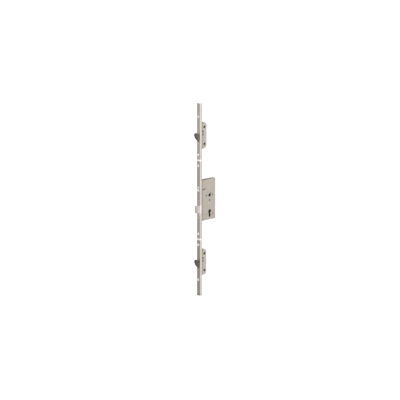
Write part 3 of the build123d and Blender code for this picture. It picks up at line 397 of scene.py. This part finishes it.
springLook = {
    "dark": (0.27, 0.27, 0.28), "light": (0.40, 0.40, 0.41),
    "cloud": (0.46, 0.45, 0.44), "cloudShare": 0.4, "cloudScale": 300.0, "cloudHeight": 0.3,
    "speck": (0.18, 0.18, 0.18), "speckShare": 0.4, "speckScale": 1500.0,
    "worn": (0.62, 0.61, 0.60), "wearRadius": 0.0002, "wearGain": 1.5, "wearShare": 0.3,
    "lineStretch": (1.0, 1.0, 1.0), "lineScale": 2600.0,
    "rough": 0.30, "roughSpread": 0.08, "metallic": 0.90, "bump": 0.15, "bumpDepth": 0.00003, "seed": 30.0,
}

couplingLook = {
    "dark": (0.90, 0.89, 0.865), "light": (0.97, 0.965, 0.945), "cloudScale": 70.0, "grainScale": 1800.0,
    "worn": (0.96, 0.95, 0.93), "wearRadius": 0.0005, "wearGain": 1.6, "wearShare": 0.4,
    "rough": 0.42, "roughSpread": 0.14, "bump": 0.25, "bumpDepth": 0.00005, "seed": 33.0,
}

rollerLook = {
    "dark": (0.84, 0.83, 0.80), "light": (0.93, 0.92, 0.89), "cloudScale": 120.0, "grainScale": 1500.0,
    "worn": (0.97, 0.97, 0.95), "wearRadius": 0.0005, "wearGain": 1.6, "wearShare": 0.4,
    "rough": 0.22, "roughSpread": 0.12, "bump": 0.12, "bumpDepth": 0.00004, "seed": 36.0,
}

guideLook = {
    "dark": (0.018, 0.018, 0.019), "light": (0.035, 0.035, 0.036), "cloudScale": 90.0, "grainScale": 1700.0,
    "worn": (0.11, 0.11, 0.11), "wearRadius": 0.0005, "wearGain": 1.6, "wearShare": 0.5,
    "rough": 0.50, "roughSpread": 0.16, "bump": 0.30, "bumpDepth": 0.00006, "seed": 39.0,
}

finishes = {
    "case_plate": brushedMetal("platedCase", caseLook),
    "hook_steel": brushedMetal("darkHook", hookLook),
    "bolt_nickel": brushedMetal("groundBolt", boltLook),
    "zinc_steel": brushedMetal("zincStrip", zincLook),
    "follower_zinc": brushedMetal("sinteredFollower", followerLook),
    "bright_screw": brushedMetal("brightScrew", brightScrewLook),
    "dark_screw": brushedMetal("blackScrew", darkScrewLook),
    "rivet_steel": brushedMetal("platedRivet", rivetLook),
    "spring_wire": brushedMetal("springWire", springLook),
    "coupling_white": mouldedPlastic("whiteCoupling", couplingLook),
    "roller_white": mouldedPlastic("whiteRoller", rollerLook),
    "guide_black": mouldedPlastic("blackGuide", guideLook),
}
print("finishes made:", len(finishes))

# painted shade: the middle forend is painted darker than the upper one, with a painted highlight band round
# the bolt
shadedMiddleLook = {
    **forendLook, "dark": (0.245, 0.213, 0.193), "light": (0.318, 0.282, 0.256),
    "cloud": (0.335, 0.297, 0.270), "seed": 2.0,
    "paintedHighlight": (0.66, 0.62, 0.575), "highlightLevel": levels["bolt"], "highlightHalf": 0.016,
}
# painted shade round the holes and screws of a hook box: depth, height from the box's middle and radius
boxHoleShades = ((19.0, 17.5, 4.8), (19.5, 4.5, 4.4), (29.0, 36.8, 5.4), (29.0, -37.8, 5.4))
holeShadeLook = {"holeShade": (0.035, 0.030, 0.025), "holeShadeShare": 0.9}


def boxCoverLook(level, seed, extra=()):
    spots = tuple((x, level + rise, radius) for x, rise, radius in (*boxHoleShades, *extra))
    return {**caseLook, **holeShadeLook, "holeShades": spots, "seed": seed}


# painted light: the lower box plate is painted lighter than the other plates
litLowerBoxLook = {
    **boxCoverLook(levels["lowerBox"], 8.0, ((17.6, 51.4, 2.6),)),
    "dark": (0.390, 0.354, 0.308), "light": (0.465, 0.422, 0.368),
}
middleRings = (levels["upperJoint"] - levels["jointScrew"], levels["lowerJoint"] + levels["jointScrew"])
# painted shade: dark spots round small openings in the case cover
caseCoverLook = {
    **caseLook, **holeShadeLook, "seed": 6.0,
    "holeShades": ((66.6, 7.9, 1.7), (68.6, 10.3, 1.7), (20.0, 29.8, 2.1), (25.0, 29.0, 2.1), (29.5, 30.6, 2.0)),
}
# painted shade: a deep cavity share darkens the tray inside the case
shadedTrayLook = {**caseLook, "reach": 0.03, "cavityShadeShare": 1.0, "depth": 2.5, "seed": 5.0}
ringed = {"ring": (0.97, 0.96, 0.93), "ringRadius": 0.0048}
upperLook = {
    **forendLook, **ringed, "rings": (levels["upperDoorScrew"], levels["upperJoint"] + levels["jointScrew"]),
}
# painted shade: the lower forend is painted darker still, towards the bottom
shadedLowerLook = {
    **forendLook, **ringed, "seed": 3.0,
    "rings": (levels["lowerDoorScrew"], levels["lowerJoint"] - levels["jointScrew"]),
    "dark": (0.190, 0.171, 0.156), "light": (0.248, 0.226, 0.208), "cloud": (0.262, 0.240, 0.220),
    "side": (0.52, 0.487, 0.448), "slantHighlight": (0.33, 0.306, 0.282), "paintedContact": (0.45, 0.420, 0.379),
}
# a painted highlight band brightens the cylinder screw at its level
dullScrewLook = {
    **brightScrewLook, "metallic": 0.5,
    "dark": (0.42, 0.39, 0.355), "light": (0.55, 0.515, 0.475), "cloud": (0.50, 0.47, 0.43),
    "paintedHighlight": (0.96, 0.95, 0.92), "highlightLevel": levels["cylinderScrew"], "highlightHalf": 0.005,
}
ownFinish = {
    "forend_screws": brushedMetal("faceScrews", dullScrewLook),
    "cylinder_screw": brushedMetal("cylinderScrew", {**dullScrewLook, "seed": 22.0}),
    "forend_upper": brushedMetal("satinUpper", upperLook),
    "forend_lower": brushedMetal("satinLowerShaded", shadedLowerLook),
    "upper_box_cover": brushedMetal("upperBoxPlate", boxCoverLook(levels["upperBox"], 7.0)),
    "lower_box_cover": brushedMetal("litLowerBoxPlate", litLowerBoxLook),
    "case_cover": brushedMetal("caseCoverPlate", caseCoverLook),
    "case_tray": brushedMetal("shadedPlatedTray", shadedTrayLook),
    "forend_middle": brushedMetal("satinMiddleShaded", {**shadedMiddleLook, **ringed, "rings": middleRings}),
    "deadbolt_guide": brushedMetal("guideFrame", guideFrameLook),
}
slotOfNode = {part["node"]: part["material_slot"] for part in frame["record"]["subparts"]}
for nodeName, piece in nodes.items():
    piece.data.materials.clear()
    piece.data.materials.append(ownFinish.get(nodeName) or finishes[slotOfNode[nodeName]])
print("finishes on all pieces")


# Geometry Nodes helpers

# how many facets go round each shape
facets = {"screw": 48, "crown": 16, "socket": 6, "rivet": 40, "rivetDome": 20, "coil": 40, "wire": 12}


def newTree(name, inputs):
    # a Geometry input, the named values after it and a Geometry output
    tree = bpy.data.node_groups.new(name, "GeometryNodeTree")
    tree.interface.new_socket("Geometry", in_out="INPUT", socket_type="NodeSocketGeometry")
    for label, value in inputs.items():
        socket = tree.interface.new_socket(label, in_out="INPUT", socket_type="NodeSocketFloat")
        socket.default_value = value
    tree.interface.new_socket("Geometry", in_out="OUTPUT", socket_type="NodeSocketGeometry")
    return tree, tree.nodes.new("NodeGroupInput"), tree.nodes.new("NodeGroupOutput")


def feed(tree, source, node, label):
    tree.links.new(source, node.inputs[label])


def vector(tree, x, y, z):
    node = tree.nodes.new("ShaderNodeCombineXYZ")
    for socket, value in zip(node.inputs, (x, y, z)):
        if isinstance(value, (int, float)):
            socket.default_value = value
        else:
            tree.links.new(value, socket)
    return node.outputs[0]


def moved(tree, geometry, offset=None, scale=None):
    node = tree.nodes.new("GeometryNodeTransform")
    tree.links.new(geometry, node.inputs["Geometry"])
    if offset is not None:
        tree.links.new(offset, node.inputs["Translation"])
    if scale is not None:
        tree.links.new(scale, node.inputs["Scale"])
    return node.outputs["Geometry"]


def runTree(tree, name, points, values, body, replaced):
    # runs the tree on a mesh of loose points and keeps the result as one plain mesh
    seedMesh = bpy.data.meshes.new(name + "Points")
    seedMesh.from_pydata([tuple(c * mm for c in p) for p in points], [], [])
    holder = bpy.data.objects.new(name + "Points", seedMesh)
    bpy.context.scene.collection.objects.link(holder)
    modifier = holder.modifiers.new(name, "NODES")
    modifier.node_group = tree
    for item in tree.interface.items_tree:
        if item.item_type == "SOCKET" and item.in_out == "INPUT" and item.name in values:
            modifier[item.identifier] = values[item.name]
    graph = bpy.context.evaluated_depsgraph_get()
    mesh = bpy.data.meshes.new_from_object(holder.evaluated_get(graph))
    mesh.name = name
    piece = bpy.data.objects.new(name, mesh)
    bpy.context.scene.collection.objects.link(piece)
    bpy.data.objects.remove(holder)
    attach(piece, body)
    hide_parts(replaced)
    return piece


def finishTree(tree, instances, groupOut, material):
    realize = tree.nodes.new("GeometryNodeRealizeInstances")
    paint = tree.nodes.new("GeometryNodeSetMaterial")
    paint.inputs["Material"].default_value = material
    tree.links.new(instances, realize.inputs["Geometry"])
    tree.links.new(realize.outputs["Geometry"], paint.inputs["Geometry"])
    tree.links.new(paint.outputs["Geometry"], groupOut.inputs["Geometry"])


def placeOnPoints(tree, groupIn, shape, turn):
    place = tree.nodes.new("GeometryNodeInstanceOnPoints")
    tree.links.new(groupIn.outputs["Geometry"], place.inputs["Points"])
    tree.links.new(shape, place.inputs["Instance"])
    place.inputs["Rotation"].default_value = turn
    return place.outputs["Instances"]


# countersunk screws: head, shank and a recess, pointing along local +Z

def screwTree(name, sizes, material, turn, slotted):
    tree, groupIn, groupOut = newTree(name, sizes)
    value = groupIn.outputs
    cone = tree.nodes.new("GeometryNodeMeshCone")
    cone.inputs["Vertices"].default_value = facets["screw"]
    feed(tree, value["Head radius"], cone, "Radius Bottom")
    feed(tree, value["Shank radius"], cone, "Radius Top")
    coneHeight = mathNode(tree, "SUBTRACT", value["Head radius"], value["Shank radius"])
    tree.links.new(coneHeight, cone.inputs["Depth"])
    dome = tree.nodes.new("GeometryNodeMeshUVSphere")
    dome.inputs["Segments"].default_value = facets["screw"]
    dome.inputs["Rings"].default_value = facets["crown"]
    dome.inputs["Radius"].default_value = 1.0
    crown = vector(tree, value["Head radius"], value["Head radius"], value["Crown"])
    head = moved(tree, dome.outputs["Mesh"], scale=crown)
    shank = tree.nodes.new("GeometryNodeMeshCylinder")
    shank.inputs["Vertices"].default_value = facets["screw"]
    feed(tree, value["Shank radius"], shank, "Radius")
    feed(tree, value["Length"], shank, "Depth")
    halfLength = mathNode(tree, "MULTIPLY", value["Length"], 0.5)
    body = moved(tree, shank.outputs["Mesh"], vector(tree, 0.0, 0.0, halfLength))
    if slotted:
        cutter = tree.nodes.new("GeometryNodeMeshCube")
        wide = mathNode(tree, "MULTIPLY", value["Head radius"], 3.0)  # the slot runs right across
        tree.links.new(vector(tree, wide, value["Recess"], value["Recess depth"]), cutter.inputs["Size"])
    else:
        cutter = tree.nodes.new("GeometryNodeMeshCylinder")
        cutter.inputs["Vertices"].default_value = facets["socket"]
        feed(tree, value["Recess"], cutter, "Radius")
        feed(tree, value["Recess depth"], cutter, "Depth")
    cut = tree.nodes.new("GeometryNodeMeshBoolean")
    cut.operation = "DIFFERENCE"
    merged = tree.nodes.new("GeometryNodeMeshBoolean")
    merged.operation = "UNION"
    for shape in (cone.outputs["Mesh"], head, body):
        tree.links.new(shape, merged.inputs["Mesh 2"])
    tree.links.new(merged.outputs["Mesh"], cut.inputs["Mesh 1"])
    tree.links.new(cutter.outputs["Mesh"], cut.inputs["Mesh 2"])
    lifted = moved(tree, cut.outputs["Mesh"], vector(tree, 0.0, 0.0, value["Crown"]))
    finishTree(tree, placeOnPoints(tree, groupIn, lifted, turn), groupOut, material)
    return tree


alongX = (0.0, math.pi / 2, 0.0)  # local +Z turned to +X, into the door
alongY = (-math.pi / 2, 0.0, 0.0)  # local +Z turned to +Y, through a box

couplingScrews = {
    "joints": (levels["upperJoint"], levels["lowerJoint"]), "offset": levels["jointScrew"], "sink": -0.15,
    "sizes": {"Head radius": 3.90 * mm, "Shank radius": 2.15 * mm, "Crown": 0.30 * mm, "Length": 3.2 * mm,
              "Recess": 0.90 * mm, "Recess depth": 1.8 * mm},
}
couplingPoints = [(couplingScrews["sink"], 0, joint + side * couplingScrews["offset"])
                  for joint in couplingScrews["joints"] for side in (-1, 1)]
couplingTree = screwTree(
    "couplingScrewTree", couplingScrews["sizes"], finishes["bright_screw"], alongX, slotted=False)
runTree(couplingTree, "couplingScrewSet", couplingPoints, couplingScrews["sizes"],
        "lock_frame", "coupling_screws")

boxScrews = {
    "depth": 29.3, "rises": (36.5, -38.0), "front": -7.75,
    "sizes": {"Head radius": 3.72 * mm, "Shank radius": 2.52 * mm, "Crown": 0.20 * mm, "Length": 12.0 * mm,
              "Recess": 0.9 * mm, "Recess depth": 1.4 * mm},
}
boxScrewTree = screwTree(
    "boxScrewTree", boxScrews["sizes"], finishes["dark_screw"], alongY, slotted=True)
for place in ("upper", "lower"):
    level = levels[place + "Box"]
    spots = [(boxScrews["depth"], boxScrews["front"], level + rise) for rise in boxScrews["rises"]]
    runTree(boxScrewTree, place + "BoxScrewSet", spots, boxScrews["sizes"],
            "lock_frame", place + "_box_screws")
print("screws made")


# domed rivets: a flat dome on each plate and a shank between them

def rivetTree(name, sizes, material, turn):
    tree, groupIn, groupOut = newTree(name, sizes)
    value = groupIn.outputs
    shapes = []
    for side in (-1.0, 1.0):
        dome = tree.nodes.new("GeometryNodeMeshUVSphere")
        dome.inputs["Segments"].default_value = facets["rivet"]
        dome.inputs["Rings"].default_value = facets["rivetDome"]
        dome.inputs["Radius"].default_value = 1.0
        offset = mathNode(tree, "MULTIPLY", value["Half grip"], side)
        shapes.append(moved(tree, dome.outputs["Mesh"], vector(tree, 0.0, 0.0, offset),
                            vector(tree, value["Head radius"], value["Head radius"], value["Head height"])))
    shank = tree.nodes.new("GeometryNodeMeshCylinder")
    shank.inputs["Vertices"].default_value = facets["rivet"]
    feed(tree, value["Shank radius"], shank, "Radius")
    tree.links.new(mathNode(tree, "MULTIPLY", value["Half grip"], 2.0), shank.inputs["Depth"])
    union = tree.nodes.new("GeometryNodeMeshBoolean")
    union.operation = "UNION"
    for shape in (*shapes, shank.outputs["Mesh"]):
        tree.links.new(shape, union.inputs["Mesh 2"])
    finishTree(tree, placeOnPoints(tree, groupIn, union.outputs["Mesh"], turn), groupOut, material)
    return tree


caseRivets = {
    "spots": ((37.0, 63.5), (88.5, 64.5), (88.5, -101.5), (26.0, -104.0)),
    "sizes": {"Head radius": 2.6 * mm, "Head height": 0.6 * mm, "Shank radius": 1.45 * mm,
              "Half grip": 7.75 * mm},
}
caseRivetTree = rivetTree("caseRivetTree", caseRivets["sizes"], finishes["rivet_steel"], alongY)
runTree(caseRivetTree, "caseRivetSet", [(x, 0, z) for x, z in caseRivets["spots"]], caseRivets["sizes"],
        "lock_frame", "case_rivets")
print("rivets made")


# latch spring: a coil round the fork's tail

def springTree(name, sizes, material):
    tree, groupIn, groupOut = newTree(name, sizes)
    value = groupIn.outputs
    spiral = tree.nodes.new("GeometryNodeCurveSpiral")
    spiral.inputs["Resolution"].default_value = facets["coil"]
    feed(tree, value["Turns"], spiral, "Rotations")
    feed(tree, value["Coil radius"], spiral, "Start Radius")
    feed(tree, value["Coil radius"], spiral, "End Radius")
    feed(tree, value["Length"], spiral, "Height")
    wire = tree.nodes.new("GeometryNodeCurvePrimitiveCircle")
    wire.inputs["Resolution"].default_value = facets["wire"]
    feed(tree, value["Wire radius"], wire, "Radius")
    sweep = tree.nodes.new("GeometryNodeCurveToMesh")
    sweep.inputs["Fill Caps"].default_value = True
    tree.links.new(spiral.outputs["Curve"], sweep.inputs["Curve"])
    tree.links.new(wire.outputs["Curve"], sweep.inputs["Profile Curve"])
    finishTree(tree, placeOnPoints(tree, groupIn, sweep.outputs["Mesh"], alongX), groupOut, material)
    return tree


latchSpring = {
    "front": 22.5, "anchor": 40.0, "keep": 0.61,
    "sizes": {"Turns": 8.0, "Coil radius": 2.9 * mm, "Wire radius": 0.45 * mm, "Length": 16.8 * mm},
}
coilTree = springTree("latchSpringTree", latchSpring["sizes"], finishes["spring_wire"])
coilStart = (latchSpring["front"], 0, levels["latch"])
coil = runTree(coilTree, "latchSpringCoil", [coilStart], latchSpring["sizes"],
               "lock_frame", "latch_spring")
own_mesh(coil)
print("latch spring made")


# camera: a long lens at the photograph's viewing angle

camera = {
    "azimuth": -44.0, "elevation": 12.7, "distance": 18.0, "frameWidth": 1.726,
    "right": 0.00712, "down": 0.0138, "sensor": 36.0, "clip": (0.1, 100.0),
}
azimuth, elevation = math.radians(camera["azimuth"]), math.radians(camera["elevation"])
flat = math.cos(elevation)
backWard = Vector((math.sin(azimuth) * flat, -math.cos(azimuth) * flat, math.sin(elevation)))
rightWard = Vector((math.cos(azimuth), math.sin(azimuth), 0))
upWard = backWard.cross(rightWard)
target = rightWard * camera["right"] - upWard * camera["down"]
lens = bpy.data.cameras.new("longLens")
lens.sensor_width = camera["sensor"]
lens.lens = camera["sensor"] * camera["distance"] / camera["frameWidth"]
lens.clip_start, lens.clip_end = camera["clip"]
cameraObject = bpy.data.objects.new("longLens", lens)
bpy.context.scene.collection.objects.link(cameraObject)
cameraObject.matrix_world = Matrix.Translation(target + backWard * camera["distance"]) @ Matrix(
    (rightWard, upWard, backWard)).transposed().to_4x4()
bpy.context.scene.camera = cameraObject
print("camera placed")


# studio: pale floor, white background and three soft lamps

studio = {
    "floorLevel": -0.4388, "floorHalf": 30.0, "floorColour": (0.80, 0.80, 0.80), "floorLift": 0.66,
    "floorRough": 0.9, "ambient": 0.50, "ambientColour": (1.0, 0.985, 0.96),
}
floorMesh = bpy.data.meshes.new("studioFloor")
half, low = studio["floorHalf"], studio["floorLevel"]
corners = [(-half, -half, low), (half, -half, low), (half, half, low), (-half, half, low)]
floorMesh.from_pydata(corners, [], [(0, 1, 2, 3)])
floor = bpy.data.objects.new("studioFloor", floorMesh)
bpy.context.scene.collection.objects.link(floor)
floorMaterial, floorTree, floorShader = newMaterial("paleFloor")
floorShader.inputs["Base Color"].default_value = (*studio["floorColour"], 1)
floorShader.inputs["Roughness"].default_value = studio["floorRough"]
floorShader.inputs["Specular IOR Level"].default_value = 0.0
glow = floorTree.nodes.new("ShaderNodeEmission")
glow.inputs["Color"].default_value = (1, 1, 1, 1)
lift = mathNode(floorTree, "MULTIPLY", plainRays(floorTree), studio["floorLift"])
floorTree.links.new(lift, glow.inputs["Strength"])
both = floorTree.nodes.new("ShaderNodeAddShader")
floorTree.links.new(floorShader.outputs[0], both.inputs[0])
floorTree.links.new(glow.outputs[0], both.inputs[1])
floorTree.links.new(both.outputs[0], floorTree.nodes["Material Output"].inputs["Surface"])
floorMesh.materials.append(floorMaterial)

world = bpy.data.worlds.new("studioRoom")
bpy.context.scene.world = world
world.use_nodes = True
roomTree = world.node_tree
roomTree.nodes.clear()
soft = roomTree.nodes.new("ShaderNodeBackground")
soft.inputs["Color"].default_value = (*studio["ambientColour"], 1)
soft.inputs["Strength"].default_value = studio["ambient"]
white = roomTree.nodes.new("ShaderNodeBackground")
white.inputs["Color"].default_value = (1, 1, 1, 1)
white.inputs["Strength"].default_value = 1.0
choice = roomTree.nodes.new("ShaderNodeMixShader")
roomOut = roomTree.nodes.new("ShaderNodeOutputWorld")
roomTree.links.new(plainRays(roomTree), choice.inputs[0])
roomTree.links.new(soft.outputs[0], choice.inputs[1])
roomTree.links.new(white.outputs[0], choice.inputs[2])
roomTree.links.new(choice.outputs[0], roomOut.inputs["Surface"])

lamps = {
    "keyLamp": {"place": (1.9, -3.6, 1.2), "size": 2.4, "power": 76.0},
    "fillLamp": {"place": (-3.4, -0.6, 1.0), "size": 2.4, "power": 38.0},
    "topLamp": {"place": (-0.4, 0.6, 3.4), "size": 2.6, "power": 30.0},
}
for lampName, values in lamps.items():
    light = bpy.data.lights.new(lampName, "AREA")
    light.shape = "SQUARE"
    light.size = values["size"]
    light.energy = values["power"]
    lamp = bpy.data.objects.new(lampName, light)
    bpy.context.scene.collection.objects.link(lamp)
    lamp.location = values["place"]
    lamp.rotation_euler = (-Vector(values["place"])).to_track_quat("-Z", "Y").to_euler()
bpy.context.scene.view_settings.view_transform = "Standard"
print("studio lit")
